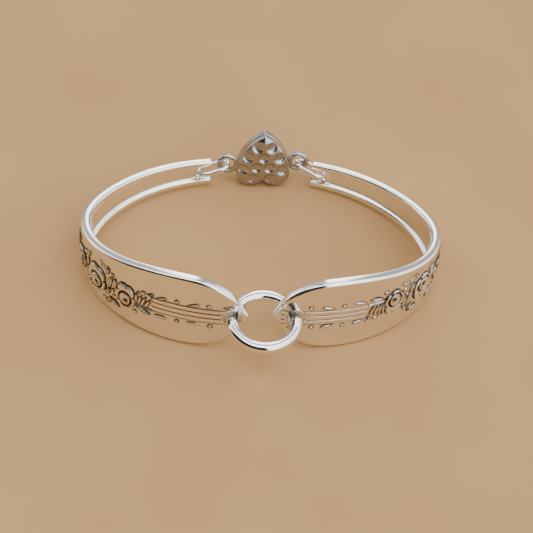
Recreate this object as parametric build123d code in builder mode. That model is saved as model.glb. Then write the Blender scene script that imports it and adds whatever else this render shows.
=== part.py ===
from build123d import *
import os
from math import cos, radians, sin, sqrt

# A bracelet made of two bent teaspoon handles. A round ring joins their pointed tips in front,
# and two oval links join their narrow ends to a heart clasp in two halves behind.
# Millimetres, +X to the right seen from the front, +Y to the clasp, +Z up from the table that it
# lies on. The origin is the bottom centre of the whole bracelet.

# Plan of a handle: its middle line runs from the tip in front round to the narrow end behind
HALF_SPAN = 32.3
PLAN_DEPTH = 39.7
TIP_GAP = 4.4

# Strip of a handle
HALF_WIDTH = 7.7
THICKNESS = 1.8
EDGE_ROUND = 0.6
ROUND_LIMIT = 0.85
CROWN = 0.2

# Channel inside the narrow half of a handle
CHANNEL_DEPTH = 0.75
LIP = 1.1
CHANNEL_WALL_RUN = 0.5

# Holes, measured from the tip or from the narrow end to the hole's middle
RIGHT_TIP_HOLE_IN = 3.8
LEFT_TIP_HOLE_IN = 2.6
BACK_HOLE_IN = 2.4
TIP_HOLE_RADIUS = 1.65
BACK_HOLE_RADIUS = 1.25
HOLE_FLARE = 0.25

# How the handles lie: the narrow ends sink, and the left handle is a little further forward
TILT_DEG = 6.7
LEFT_FORWARD = 0.95

# Ring, links and eyelets
RING_WIRE = 2.0
RING_LEAD_DEG = 14.0
RING_DROP = 0.25
RING_TILT_DEG = 2.0
LINK_WIRE = 0.95
LINK_SPREAD = 3.3
LINK_ROLL_DEG = 8.0
EYELET_WIRE = 1.05
EYELET_HOLE_RADIUS = 1.15
EYELET_SINK = 0.35

# Heart clasp
HEART_WIDTH = 10.4
HEART_HEIGHT = 11.7
HEART_NOTCH = 1.24
HALF_DEPTH = 1.1
HALVES_GAP = 0.12
PUFF = 0.8
HEART_MIDDLE = 0.42
EYELET_HEIGHT = 4.8
DIMPLE_RADIUS = 1.15
DIMPLE_DEPTH = 0.42
CLASP_RIGHT = 0.25
CLASP_BEHIND = 1.1
CLASP_TURN_DEG = 3.0
CLASP_LEAN_DEG = 7.0

# Raised ornament. The sizes of a rose's petals, bud and curl are shares of its radius, and the
# heights of its petals and curl and the curl's wire are shares of ROSE_PROUD
REED_RADIUS = 0.5
REED_PITCH = 1.05
REED_COUNT = 3
REED_PROUD = 0.22
REED_MARKS = 5
ROSE_RADIUS = 2.6
ROSE_PROUD = 0.5
ROSE_SUNK = 0.6
ROSE_FOOT = 1.1
PETALS = 5
PETAL_SIZE = 0.42
PETAL_HEIGHT = 0.7
BUD_SIZE = 0.55
CURL_SIZE = 0.3
CURL_HEIGHT = 0.9
CURL_WIRE = 0.35
LEAF_LENGTH = 3.4
LEAF_WIDTH = 1.3
LEAF_PROUD = 0.32
BEAD_RADIUS = 0.45
BEAD_PROUD = 0.3

# Middle line in plan. Columns: across, a share of HALF_SPAN; back from the tip, of PLAN_DEPTH
PLAN = (
    (0.082, 0.000),
    (0.282, 0.004),
    (0.533, 0.048),
    (0.749, 0.133),
    (0.932, 0.286),
    (0.999, 0.500),
    (0.879, 0.729),
    (0.626, 0.907),
    (0.322, 1.000),
)

# Sections. Columns: along, a share of the length from the tip; width, of HALF_WIDTH; thick, of
# THICKNESS
SECTIONS = (
    (0.000, 0.100, 0.90),
    (0.014, 0.290, 0.94),
    (0.032, 0.530, 0.98),
    (0.060, 0.760, 1.00),
    (0.100, 0.935, 1.00),
    (0.160, 1.000, 1.00),
    (0.250, 0.955, 1.00),
    (0.370, 0.805, 1.00),
    (0.520, 0.605, 1.00),
    (0.680, 0.455, 0.98),
    (0.840, 0.390, 0.92),
    (0.960, 0.366, 0.84),
    (1.000, 0.360, 0.82),
)

# Channel. Columns: along, a share of the length from the tip; depth, of CHANNEL_DEPTH
CHANNEL = (
    (0.360, -0.15),
    (0.440, 0.45),
    (0.560, 1.00),
    (0.760, 1.00),
    (1.000, 1.00),
)

# Reeding, from and to, as shares of the length from the tip
REEDS_FROM = 0.085
REEDS_TO = 0.245

# Roses. Columns: along, a share of the length; up from the middle, of HALF_WIDTH; size, of
# ROSE_RADIUS
ROSES = (
    (0.303, 0.06, 1.00),
    (0.394, 0.08, 0.95),
    (0.470, 0.07, 0.78),
    (0.527, 0.03, 0.62),
)

# Leaves. Columns: along, a share of the length; up from the middle, of HALF_WIDTH; turn, in
# degrees; size, a share of LEAF_LENGTH
LEAVES = (
    (0.262, 0.26, 28, 0.90),
    (0.258, -0.30, -24, 1.00),
    (0.347, 0.36, 60, 1.00),
    (0.340, -0.42, -48, 1.10),
    (0.425, 0.30, 42, 0.85),
    (0.424, -0.32, -52, 0.95),
    (0.492, 0.24, 30, 0.75),
    (0.490, -0.24, -36, 0.80),
    (0.568, 0.04, 8, 0.90),
    (0.607, -0.03, -8, 0.75),
)

# Beads beside the reeding and the roses. Columns: along, a share of the length; up, of HALF_WIDTH
BEADS = (
    (0.120, 0.30),
    (0.120, -0.30),
    (0.175, 0.30),
    (0.175, -0.30),
    (0.228, 0.32),
    (0.228, -0.32),
    (0.318, 0.42),
    (0.385, 0.34),
    (0.456, 0.30),
    (0.520, 0.20),
)

# Dome of a clasp half. Columns: outline, a share of the heart's; out, a share of PUFF
DOME = (
    (0.98, 0.00),
    (0.90, 0.55),
    (0.76, 0.88),
    (0.58, 1.00),
)

# Dimples on the wrist side of the heart. Columns: across from the middle, a share of HEART_WIDTH;
# height, of HEART_HEIGHT
DIMPLES = (
    (-0.12, 0.80),
    (0.13, 0.80),
    (-0.29, 0.60),
    (0.00, 0.61),
    (0.29, 0.60),
    (-0.37, 0.36),
    (-0.13, 0.41),
    (0.11, 0.41),
    (0.35, 0.36),
    (-0.20, 0.19),
    (0.14, 0.19),
)

with BuildLine() as plan:
    Spline(*[(HALF_SPAN * across, PLAN_DEPTH * back) for across, back in PLAN])

MIDDLE_LINE = plan.edges()[0]
LENGTH = MIDDLE_LINE.length
UP = Vector(0, 0, 1)


def outward(along):
    """The direction square to the strip, away from the wrist."""
    return (MIDDLE_LINE % along).cross(UP)


def section_at(along):
    """The width and thickness shares between the rows of SECTIONS, along straight lines."""
    for (low, low_width, low_thick), (high, high_width, high_thick) in zip(SECTIONS, SECTIONS[1:]):
        if along <= high:
            break
    share = (along - low) / (high - low)
    width = low_width + share * (high_width - low_width)
    thick = low_thick + share * (high_thick - low_thick)
    return width, thick


def half_width(along):
    width, thick = section_at(along)
    return HALF_WIDTH * width


def half_thick(along):
    width, thick = section_at(along)
    return THICKNESS / 2 * thick


def crown(width):
    """How far the outer face swells in its middle, from the section's share of HALF_WIDTH."""
    return CROWN * width**2


def section_plane(along):
    """The plane square to the strip, its X outward."""
    return Plane(origin=MIDDLE_LINE @ along, x_dir=outward(along), z_dir=MIDDLE_LINE % along)


def half_width_of_row(row):
    along, width, thick = SECTIONS[row]
    return width


def on_face(along, height, proud=0.0):
    """A point on the outer face, or proud of it."""
    swell = crown(half_width(along) / HALF_WIDTH) * (1 - (height / half_width(along)) ** 2)
    return (MIDDLE_LINE @ along) + outward(along) * (half_thick(along) + swell + proud) + UP * height


def face_plane(along, height, turn=0.0, proud=0.0):
    """A plane on the outer face, its X along the strip and then turned."""
    normal = outward(along)
    flat = Plane(origin=on_face(along, height, proud), x_dir=MIDDLE_LINE % along, z_dir=normal)
    return flat.rotated((0, 0, turn))


def strip():
    """The plain bent strip, thicker in front and crowned outside.

    It is lofted in two lengths that meet where it is widest, so that the close sections at the tip
    and the far ones behind don't pull on each other.
    """
    widest = max(range(len(SECTIONS)), key=half_width_of_row)
    with BuildPart() as bar:
        for rows in (SECTIONS[: widest + 1], SECTIONS[widest:]):
            for along, width, thick in rows:
                wide = HALF_WIDTH * width
                deep = THICKNESS / 2 * thick
                with BuildSketch(section_plane(along)):
                    with BuildLine():
                        Polyline((deep, wide), (-deep, wide), (-deep, -wide), (deep, -wide))
                        ThreePointArc((deep, -wide), (deep + crown(width), 0), (deep, wide))
                    make_face()
                    fillet(vertices(), radius=min(EDGE_ROUND, ROUND_LIMIT * wide, ROUND_LIMIT * deep))
            loft()
    return bar.part


def channel():
    """The tool that cuts the channel inside the narrow half."""
    with BuildPart() as tool:
        for along, depth in CHANNEL:
            floor = -half_thick(along) + CHANNEL_DEPTH * depth
            mouth = -half_thick(along) - CHANNEL_DEPTH
            run = CHANNEL_WALL_RUN * (floor - mouth) / CHANNEL_DEPTH
            inner = half_width(along) - LIP - CHANNEL_WALL_RUN
            with BuildSketch(section_plane(along)):
                with BuildLine():
                    Polyline(
                        (floor, inner),
                        (mouth, inner + run),
                        (mouth, -inner - run),
                        (floor, -inner),
                        close=True,
                    )
                make_face()
        loft()
    return tool.part


def hole_tool(radius):
    """A round hole's cutter, flared where it meets both faces of the strip."""
    reach = THICKNESS
    edge = THICKNESS / 2
    with BuildPart() as tool:
        with BuildSketch(Plane.XZ):
            with BuildLine():
                Polyline(
                    (0, -reach),
                    (radius + HOLE_FLARE + reach - edge, -reach),
                    (radius, -edge + HOLE_FLARE),
                    (radius, edge - HOLE_FLARE),
                    (radius + HOLE_FLARE + reach - edge, reach),
                    (0, reach),
                    close=True,
                )
            make_face()
        revolve(axis=Axis.Z)
    return tool.part


def hole_plane(along):
    return Plane(origin=MIDDLE_LINE @ along, x_dir=MIDDLE_LINE % along, z_dir=outward(along))


def reed(height):
    """One raised reed along the strip."""
    sunk = REED_PROUD - REED_RADIUS
    run = (REEDS_TO - REEDS_FROM) / (REED_MARKS - 1)
    marks = [REEDS_FROM + run * mark for mark in range(REED_MARKS)]
    with BuildPart() as line:
        with BuildLine() as path:
            Spline(*[on_face(mark, height, sunk) for mark in marks])
        with BuildSketch(Plane(origin=path.line @ 0, z_dir=path.line % 0)):
            Circle(REED_RADIUS)
        sweep()
    return line.part


def cap(radius, proud):
    """A ball sunk so that a low round boss with the given radius at its foot stands proud."""
    ball = (radius**2 + proud**2) / (2 * proud)
    return ball, proud - ball


def rose(size):
    """A rose seen from above: petals round a raised curl with a bud in it."""
    radius = ROSE_RADIUS * size
    petal = radius * PETAL_SIZE
    petal_ball, petal_depth = cap(petal, ROSE_PROUD * PETAL_HEIGHT)
    bud_ball, bud_depth = cap(radius * BUD_SIZE, ROSE_PROUD)
    with BuildPart() as flower:
        with PolarLocations(radius - petal, PETALS):
            with Locations((0, 0, petal_depth)):
                Sphere(petal_ball)
        with Locations((0, 0, bud_depth)):
            Sphere(bud_ball)
        with Locations((0, 0, ROSE_PROUD * CURL_HEIGHT)):
            Torus(radius * CURL_SIZE, ROSE_PROUD * CURL_WIRE)
        with BuildSketch(Plane.XY.offset(-ROSE_SUNK)):
            Circle(radius * ROSE_FOOT)
        extrude(amount=THICKNESS, mode=Mode.INTERSECT)
    return flower.part


def leaf(size):
    """A leaf: a spindle lying along X, half sunk."""
    length = LEAF_LENGTH * size
    belly = LEAF_WIDTH / 2
    with BuildPart() as blade:
        with BuildSketch(Plane.XY):
            with BuildLine():
                Bezier((-length / 2, 0), (0, 2 * belly), (length / 2, 0))
                Line((length / 2, 0), (-length / 2, 0))
            make_face()
        revolve(axis=Axis.X)
    return blade.part


def reeds():
    return [reed(REED_PITCH * (number - (REED_COUNT - 1) / 2)) for number in range(REED_COUNT)]


def roses():
    return [rose(size).moved(face_plane(along, HALF_WIDTH * up).location) for along, up, size in ROSES]


def leaves():
    lying = []
    for along, up, turn, size in LEAVES:
        place = face_plane(along, HALF_WIDTH * up, turn, LEAF_PROUD - LEAF_WIDTH / 2)
        lying.append(leaf(size).moved(place.location))
    return lying


def beads():
    sunk = []
    for along, up in BEADS:
        place = face_plane(along, HALF_WIDTH * up, 0, BEAD_PROUD - BEAD_RADIUS)
        sunk.append(Solid.make_sphere(BEAD_RADIUS, angle1=-90).moved(place.location))
    return sunk


def pattern_bar():
    """The ornamented strip with its channel and the hole in its narrow end."""
    with BuildPart() as bar:
        add(strip())
        for raised in (*reeds(), *roses(), *leaves(), *beads()):
            add(raised)
        add(channel(), mode=Mode.SUBTRACT)
        with Locations(hole_plane(1 - BACK_HOLE_IN / LENGTH)):
            add(hole_tool(BACK_HOLE_RADIUS), mode=Mode.SUBTRACT)
    return bar.part


def handle(bar, tip_hole_in):
    """One handle in its own plan frame, with the hole near its tip."""
    with BuildPart() as drilled:
        add(bar)
        with Locations(hole_plane(tip_hole_in / LENGTH)):
            add(hole_tool(TIP_HOLE_RADIUS), mode=Mode.SUBTRACT)
    return drilled.part


# The lobes' radius is the one whose two arcs cross at the notch
LOBE_RADIUS = HEART_WIDTH / 2 + HEART_NOTCH - sqrt(HEART_WIDTH * HEART_NOTCH)
HEART_SIDE_RADIUS = ((HEART_HEIGHT - LOBE_RADIUS) ** 2 + (HEART_WIDTH / 2) ** 2) / HEART_WIDTH


def heart_half_width(height):
    """Half the heart's width above its lobes, where its sides are round arcs."""
    rise = height - LOBE_RADIUS
    return HEART_WIDTH / 2 - HEART_SIDE_RADIUS + sqrt(HEART_SIDE_RADIUS**2 - rise**2)


def heart(size=1.0):
    """The heart's outline, point up, its lobes on the X axis, shrunk about its middle."""
    wide = HEART_WIDTH / 2
    lobe = wide - LOBE_RADIUS
    middle = HEART_HEIGHT * HEART_MIDDLE
    with BuildSketch() as outline:
        with BuildLine():
            ThreePointArc((0, HEART_NOTCH), (lobe, 0), (wide, LOBE_RADIUS))
            TangentArc((wide, LOBE_RADIUS), (0, HEART_HEIGHT), tangent=(0, 1))
            mirror(about=Plane.YZ)
        make_face()
    centred = outline.sketch.moved(Location((0, -middle, 0)))
    return centred.scale(size).moved(Location((0, middle, 0)))


def clasp_half(eyelet_side, dimpled):
    """One half of the clasp, its inner face at Y 0 and its domed face towards -Y."""
    face = Plane.XZ
    eyelet_out = EYELET_HOLE_RADIUS + EYELET_WIRE - EYELET_SINK
    eyelet_at = eyelet_side * (heart_half_width(EYELET_HEIGHT) + eyelet_out)
    ball, dimple_in = cap(DIMPLE_RADIUS, DIMPLE_DEPTH)
    with BuildPart() as half:
        with BuildSketch(face):
            add(heart())
        extrude(amount=HALF_DEPTH)
        for size, out in DOME:
            with BuildSketch(face.offset(HALF_DEPTH + PUFF * out)):
                add(heart(size))
        loft()
        if dimpled:
            for across, height in DIMPLES:
                with Locations((HEART_WIDTH * across, -HALF_DEPTH - PUFF + dimple_in, HEART_HEIGHT * height)):
                    Sphere(ball, mode=Mode.SUBTRACT)
        with Locations(Location((eyelet_at, -HALF_DEPTH / 2, EYELET_HEIGHT), (90, 0, 0))):
            Torus(EYELET_HOLE_RADIUS + EYELET_WIRE / 2, EYELET_WIRE / 2)
    return half.part


def link(span):
    """An oval wire link in the XY plane, its long way along X."""
    bend = LINK_SPREAD / 2
    straight = span - LINK_SPREAD
    with BuildPart() as oval:
        for side in (1, -1):
            with BuildSketch(Plane(origin=(-straight / 2, side * bend, 0), z_dir=(1, 0, 0))):
                Circle(LINK_WIRE / 2)
            extrude(amount=straight)
            with BuildSketch(Plane(origin=(side * straight / 2, -side * bend, 0), z_dir=(side, 0, 0))):
                Circle(LINK_WIRE / 2)
            revolve(axis=Axis((side * straight / 2, 0, 0), (0, 0, 1)), revolution_arc=180)
    return oval.part


def at(place, point):
    """Where a point lands once its frame is placed."""
    return (place * Location(point)).position


def towards(place, point, direction):
    """Where a direction points once its frame is placed."""
    return at(place, point + direction) - at(place, point)


# The handles: the left one is the same pattern turned end for end
bar = pattern_bar()
right_bar = handle(bar, RIGHT_TIP_HOLE_IN)
left_bar = handle(bar, LEFT_TIP_HOLE_IN)
TIP_X = (MIDDLE_LINE @ 0).X
TILT = Location((0, 0, 0), (-TILT_DEG, 0, 0))
LIFT = -right_bar.moved(TILT).bounding_box().min.Z
LIFTED = Location((0, 0, LIFT)) * TILT
RIGHT = LIFTED * Location((TIP_GAP / 2 - TIP_X, 0, 0))
LEFT = LIFTED * Location((TIP_X - TIP_GAP / 2, -LEFT_FORWARD, 0), (0, 180, 0))

# The ring passes through both tip holes and lies nearly level in front of them
right_hole = at(RIGHT, MIDDLE_LINE @ (RIGHT_TIP_HOLE_IN / LENGTH))
left_hole = at(LEFT, MIDDLE_LINE @ (LEFT_TIP_HOLE_IN / LENGTH))
across_holes = right_hole - left_hole
ahead = across_holes.cross(UP).normalized()
ring_radius = across_holes.length / 2 / cos(radians(RING_LEAD_DEG))
ring_ahead = ring_radius * sin(radians(RING_LEAD_DEG))
ring_middle = (left_hole + right_hole) / 2 + ahead * ring_ahead - UP * RING_DROP
RING = Plane(origin=ring_middle, x_dir=across_holes, z_dir=UP).rotated((RING_TILT_DEG, 0, 0))

# The clasp stands behind on its lobes, between the narrow ends
right_back = MIDDLE_LINE @ (1 - BACK_HOLE_IN / LENGTH)
right_end = at(RIGHT, right_back)
left_end = at(LEFT, right_back)
clasp_middle = (right_end + left_end) / 2
near_half = clasp_half(-1, True)
far_half = clasp_half(-1, False)
CLASP_TURN = Location((0, 0, 0), (0, 0, CLASP_TURN_DEG)) * Location((0, 0, 0), (-CLASP_LEAN_DEG, 0, 0))
NEAR_IN_CLASP = Location((0, -HALVES_GAP / 2, 0))
FAR_IN_CLASP = Location((0, HALVES_GAP / 2, 0), (0, 0, 180))
clasp_lift = -min(
    near_half.moved(CLASP_TURN * NEAR_IN_CLASP).bounding_box().min.Z,
    far_half.moved(CLASP_TURN * FAR_IN_CLASP).bounding_box().min.Z,
)
clasp_at = Vector(clasp_middle.X + CLASP_RIGHT, clasp_middle.Y + CLASP_BEHIND, clasp_lift)
NEAR = Location(clasp_at) * CLASP_TURN * NEAR_IN_CLASP
FAR = Location(clasp_at) * CLASP_TURN * FAR_IN_CLASP
eyelet_reach = heart_half_width(EYELET_HEIGHT) + EYELET_HOLE_RADIUS + EYELET_WIRE - EYELET_SINK
eyelet_in_half = Vector(-eyelet_reach, -HALF_DEPTH / 2, EYELET_HEIGHT)
left_eyelet = at(NEAR, eyelet_in_half)
right_eyelet = at(FAR, eyelet_in_half)

# The links are a pair of one length, set midway between the holes that they pass through
link_span = ((left_eyelet - left_end).length + (right_eyelet - right_end).length) / 2
back_outward = outward(1 - BACK_HOLE_IN / LENGTH)


def link_place(from_hole, to_hole, strip_outward, clasp_outward):
    """Where a link lies: midway between its holes, its sides square to what it holds."""
    along = to_hole - from_hole
    spread = strip_outward.normalized() + clasp_outward.normalized()
    lying = Plane(origin=(from_hole + to_hole) / 2, x_dir=along, z_dir=along.cross(spread))
    return lying.rotated((-LINK_ROLL_DEG, 0, 0)).location


clasp_outward = towards(NEAR, Vector(0, 0, 0), Vector(0, 1, 0))
LEFT_LINK = link_place(left_end, left_eyelet, towards(LEFT, right_back, back_outward), clasp_outward)
RIGHT_LINK = link_place(right_eyelet, right_end, towards(RIGHT, right_back, back_outward), clasp_outward)
oval_link = link(link_span)

# The whole is moved so that its bottom centre is the origin
boxes = [
    shape.moved(place).bounding_box()
    for shape, place in (
        (right_bar, RIGHT),
        (left_bar, LEFT),
        (near_half, NEAR),
        (far_half, FAR),
        (oval_link, LEFT_LINK),
        (oval_link, RIGHT_LINK),
    )
]
ring_front = ring_middle + ahead * (ring_radius + RING_WIRE / 2)
low_y = min(ring_front.Y, min(box.min.Y for box in boxes))
high_y = max(box.max.Y for box in boxes)
middle_x = (min(box.min.X for box in boxes) + max(box.max.X for box in boxes)) / 2
HOME = Location((-middle_x, -(low_y + high_y) / 2, 0))

os.makedirs("parts", exist_ok=True)

with BuildPart() as handle_right:
    with Locations(HOME * RIGHT):
        add(right_bar)
handle_right.part.label = "handle_right"
export_step(handle_right.part, "parts/handle_right.step")

with BuildPart() as handle_left:
    with Locations(HOME * LEFT):
        add(left_bar)
handle_left.part.label = "handle_left"
export_step(handle_left.part, "parts/handle_left.step")

with BuildPart() as front_ring:
    with Locations(HOME * RING.location):
        Torus(ring_radius, RING_WIRE / 2)
front_ring.part.label = "front_ring"
export_step(front_ring.part, "parts/front_ring.step")

with BuildPart() as link_left:
    with Locations(HOME * LEFT_LINK):
        add(oval_link)
link_left.part.label = "link_left"
export_step(link_left.part, "parts/link_left.step")

with BuildPart() as link_right:
    with Locations(HOME * RIGHT_LINK):
        add(oval_link)
link_right.part.label = "link_right"
export_step(link_right.part, "parts/link_right.step")

with BuildPart() as clasp_near:
    with Locations(HOME * NEAR):
        add(near_half)
clasp_near.part.label = "clasp_near"
export_step(clasp_near.part, "parts/clasp_near.step")

with BuildPart() as clasp_far:
    with Locations(HOME * FAR):
        add(far_half)
clasp_far.part.label = "clasp_far"
export_step(clasp_far.part, "parts/clasp_far.step")
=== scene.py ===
"""Looks of a spoon handle bracelet: two bent silver handles, a ring, two links and a heart clasp."""
from math import cos, hypot, pi, radians, sin, tan

import bmesh
import bpy
import numpy as np
from mathutils import Matrix, Vector


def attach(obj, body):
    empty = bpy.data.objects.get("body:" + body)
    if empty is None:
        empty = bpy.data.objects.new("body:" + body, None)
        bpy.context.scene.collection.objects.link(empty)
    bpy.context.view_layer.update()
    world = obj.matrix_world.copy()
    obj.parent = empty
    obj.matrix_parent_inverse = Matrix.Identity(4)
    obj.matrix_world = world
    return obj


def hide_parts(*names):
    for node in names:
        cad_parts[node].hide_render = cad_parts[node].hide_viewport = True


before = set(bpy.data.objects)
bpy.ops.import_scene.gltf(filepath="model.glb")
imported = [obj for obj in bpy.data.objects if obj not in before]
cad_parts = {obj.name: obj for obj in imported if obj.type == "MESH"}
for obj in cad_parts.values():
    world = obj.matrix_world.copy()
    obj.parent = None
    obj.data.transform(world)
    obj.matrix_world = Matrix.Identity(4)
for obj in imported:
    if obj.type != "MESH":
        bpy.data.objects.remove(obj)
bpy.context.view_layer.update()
MM = 0.001

# The handle's plan, strip and holes, the same real sizes as in the part's source
HALF_SPAN = 32.3 * MM
PLAN_DEPTH = 39.7 * MM
HALF_WIDTH = 7.7 * MM
THICKNESS = 1.8 * MM
CROWN = 0.2 * MM
EDGE_ROUND = 0.6 * MM
ROUND_LIMIT = 0.85
CHANNEL_DEPTH = 0.75 * MM
LIP = 1.1 * MM
CHANNEL_WALL_RUN = 0.5 * MM
RIGHT_TIP_HOLE_IN = 3.8 * MM
LEFT_TIP_HOLE_IN = 2.6 * MM
BACK_HOLE_IN = 2.4 * MM
TIP_HOLE_RADIUS = 1.65 * MM
BACK_HOLE_RADIUS = 1.25 * MM
TILT = radians(6.7)

# The clasp, the same real sizes as in the part's source
HEART_WIDTH = 10.4 * MM
HEART_HEIGHT = 11.7 * MM
HEART_NOTCH = 1.24 * MM
HEART_MIDDLE = 0.42
HALF_DEPTH = 1.1 * MM
PUFF = 0.8 * MM
EYELET_HEIGHT = 4.8 * MM
EYELET_WIRE = 1.05 * MM
EYELET_HOLE_RADIUS = 1.15 * MM
EYELET_SINK = 0.35 * MM
DIMPLE_RADIUS = 1.15 * MM
DIMPLE_DEPTH = 0.42 * MM

# Sizes of these looks alone: the softer edge near the tip, the holes' rounded rims, the dark foot of
# the channel's walls, and how the clasp's puffed face rises
TIP_EDGE_RUN = 1.5 * MM
TIP_EDGE_REACH = 15 * MM
EDGE_LIMIT = 0.6
HOLE_FLARE = 0.22 * MM
CHANNEL_FOOT = 0.16 * MM
PUFF_RUN = 2.3 * MM
PUFF_POWER = 0.8

# Columns: across, back. Shares of HALF_SPAN and PLAN_DEPTH
PLAN = np.array((
    (0.082, 0.000),
    (0.282, 0.004),
    (0.533, 0.048),
    (0.749, 0.133),
    (0.932, 0.286),
    (0.999, 0.500),
    (0.879, 0.729),
    (0.626, 0.907),
    (0.322, 1.000),
))

# Columns: along, width, thick. Shares of the length, of HALF_WIDTH and of THICKNESS
SECTIONS = np.array((
    (0.000, 0.100, 0.90),
    (0.014, 0.290, 0.94),
    (0.032, 0.530, 0.98),
    (0.060, 0.760, 1.00),
    (0.100, 0.935, 1.00),
    (0.160, 1.000, 1.00),
    (0.250, 0.955, 1.00),
    (0.370, 0.805, 1.00),
    (0.520, 0.605, 1.00),
    (0.680, 0.455, 0.98),
    (0.840, 0.390, 0.92),
    (0.960, 0.366, 0.84),
    (1.000, 0.360, 0.82),
))

# Columns: along, depth. Shares of the length and of CHANNEL_DEPTH
CHANNEL = np.array((
    (0.360, 0.00),
    (0.440, 0.45),
    (0.560, 1.00),
    (0.760, 1.00),
    (1.000, 1.00),
))

# Columns: across, height. Shares of HEART_WIDTH and HEART_HEIGHT
DIMPLES = (
    (-0.12, 0.80),
    (0.13, 0.80),
    (-0.29, 0.60),
    (0.00, 0.61),
    (0.29, 0.60),
    (-0.37, 0.36),
    (-0.13, 0.41),
    (0.11, 0.41),
    (0.35, 0.36),
    (-0.20, 0.19),
    (0.14, 0.19),
)

# Ornament: reeds run from the tip to a leafy collar, then roses and leaves. Millimetres
GROOVES = (1.52, 0.48, -0.58, -1.60)
REED_FROM = 0.9
REED_TO = 16.9
REED_PROUD = 0.035
GROOVE = 0.12
GROOVE_DEPTH = 0.075
HALO = 0.30
ROSE_PROUD = 0.50
LEAF_PROUD = 0.30

# Columns: length from the tip, up from the middle, half length, half height, turn in degrees
ROSES = (
    (21.6, 0.50, 2.05, 2.75, 12),
    (28.4, 0.55, 2.45, 2.85, 80),
    (34.1, 0.40, 1.95, 2.35, 30),
    (38.6, 0.20, 1.45, 1.80, 60),
)

# Columns: length from the tip, up from the middle, turn in degrees, length, width, bend
LEAVES = (
    (18.2, 2.30, -17, 2.9, 1.00, 0.06),
    (16.9, -1.65, -48, 1.3, 0.45, 0.0),
    (17.35, 0.30, 66, 2.5, 0.62, -0.05),
    (18.10, 0.05, 70, 2.7, 0.62, -0.05),
    (18.80, 0.05, 76, 2.5, 0.60, -0.05),
    (19.45, -0.10, 88, 2.9, 0.60, -0.05),
    (24.0, 3.60, -28, 2.6, 0.85, 0.05),
    (23.9, -0.75, 80, 2.8, 0.95, 0.06),
    (25.0, -0.55, 76, 3.2, 1.00, -0.06),
    (25.3, 3.95, 48, 2.2, 0.85, 0.0),
    (25.5, 1.90, 62, 2.2, 0.80, 0.06),
    (25.5, -2.70, 62, 1.9, 0.75, 0.0),
    (26.3, -3.30, 28, 2.2, 0.80, 0.0),
    (31.1, 3.10, 35, 2.3, 0.90, 0.0),
    (31.3, 1.35, 70, 2.1, 0.80, 0.06),
    (31.2, -0.80, 78, 2.5, 0.85, 0.0),
    (30.9, -2.85, 52, 2.2, 0.85, 0.0),
    (32.0, -2.40, 20, 2.0, 0.75, 0.0),
    (36.3, 2.10, 35, 2.1, 0.80, 0.0),
    (36.4, 0.30, 80, 1.9, 0.70, 0.0),
    (36.2, -1.70, 60, 2.0, 0.75, 0.0),
    (37.1, -1.90, 15, 1.7, 0.60, 0.0),
    (40.6, 1.15, 28, 2.0, 0.75, -0.05),
    (40.5, -1.00, -28, 2.0, 0.75, 0.05),
    (41.7, 0.05, 2, 2.3, 0.85, 0.0),
    (43.9, 0.00, -3, 2.0, 0.65, 0.0),
    (45.7, 0.05, 3, 1.4, 0.45, 0.0),
)

# Columns: length from the tip, up from the middle, turn in degrees, length, width
DASHES = (
    (3.3, -2.35, 6, 1.7, 0.42),
    (9.3, 2.15, -8, 2.0, 0.55),
    (15.0, 2.35, -9, 2.1, 0.58),
    (9.2, -2.10, 15, 2.0, 0.50),
    (14.8, -1.95, 17, 1.8, 0.50),
)

# Columns: length from the tip, up from the middle, radius
BEADS = (
    (6.3, 2.30, 0.38),
    (12.0, 2.35, 0.34),
    (6.65, -2.25, 0.38),
    (12.1, -2.25, 0.33),
    (16.5, -2.15, 0.28),
    (18.1, -1.95, 0.40),
    (19.0, -1.60, 0.26),
    (19.8, 3.30, 0.42),
    (23.9, 2.35, 0.50),
    (24.4, 1.05, 0.36),
    (26.4, 4.05, 0.40),
    (24.4, -2.60, 0.34),
    (27.3, -3.75, 0.36),
    (32.2, 2.30, 0.40),
    (30.4, 3.70, 0.32),
    (36.9, 1.30, 0.32),
    (35.6, 2.75, 0.30),
    (39.9, 1.90, 0.28),
    (39.7, -1.75, 0.28),
    (41.0, 0.10, 0.30),
)

# Tiny pits where the plating is worn. Columns: length from the tip, up from the middle, radius
PITS = (
    (6.3, -3.75, 0.10),
    (8.6, 4.85, 0.09),
    (8.1, 4.40, 0.08),
)

# A clasp half's rows, from the middle of its flat inner face to its edge. Columns: share of the
# heart's outline, depth in millimetres, how dark. The darkness is painted shade in the seam where the
# two halves meet
CLASP_EDGE = (
    (0.020, 0.00, 0.0),
    (0.930, 0.00, 0.0),
    (0.985, 0.02, 0.0),
    (1.000, 0.12, 0.5),
)

# Steps of the meshes: finest in the rich length, which has the ornament, and finer than the plain
# middle in the back length, which has the back hole
PLAN_SAMPLES = 6001
RICH_LENGTH = 46.5 * MM
BACK_LENGTH = 5.2 * MM
FACE_STEP = 0.11 * MM
PLAIN_STEP = 0.5 * MM
BACK_STEP = 0.2 * MM
RICH_HEIGHT = 0.62
RICH_COLUMNS = 96
PLAIN_COLUMNS = 10
INNER_COLUMNS = 28
ROUND_COLUMNS = 6
HOLE_REACH = 2.2
HOLE_WIDEST = 0.96
HOLE_RINGS = 7
FLARE_RINGS = 4
MARK_STEP = 0.2 * MM
RING_STEPS = (192, 48)
LINK_STEPS = (120, 28)
EYELET_STEPS = (72, 28)
OUTLINE_POINTS = 120
SIDE_SHARES = (0.3, 0.6, 0.9)
PUFF_ROWS = 57
PUFF_CROWD = 1.15

# The photograph's camera, in the bracelet's own frame. CAMERA_VIEW is the angle across the picture
CAMERA_PLACE = Vector((-9.64, -153.85, 176.12)) * MM
CAMERA_AZIMUTH = radians(4.119)
CAMERA_ELEVATION = radians(48.731)
CAMERA_ROLL = radians(-6.187)
CAMERA_VIEW = radians(24)
CAMERA_CLIP = (0.01, 20)
SENSOR = 36


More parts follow.
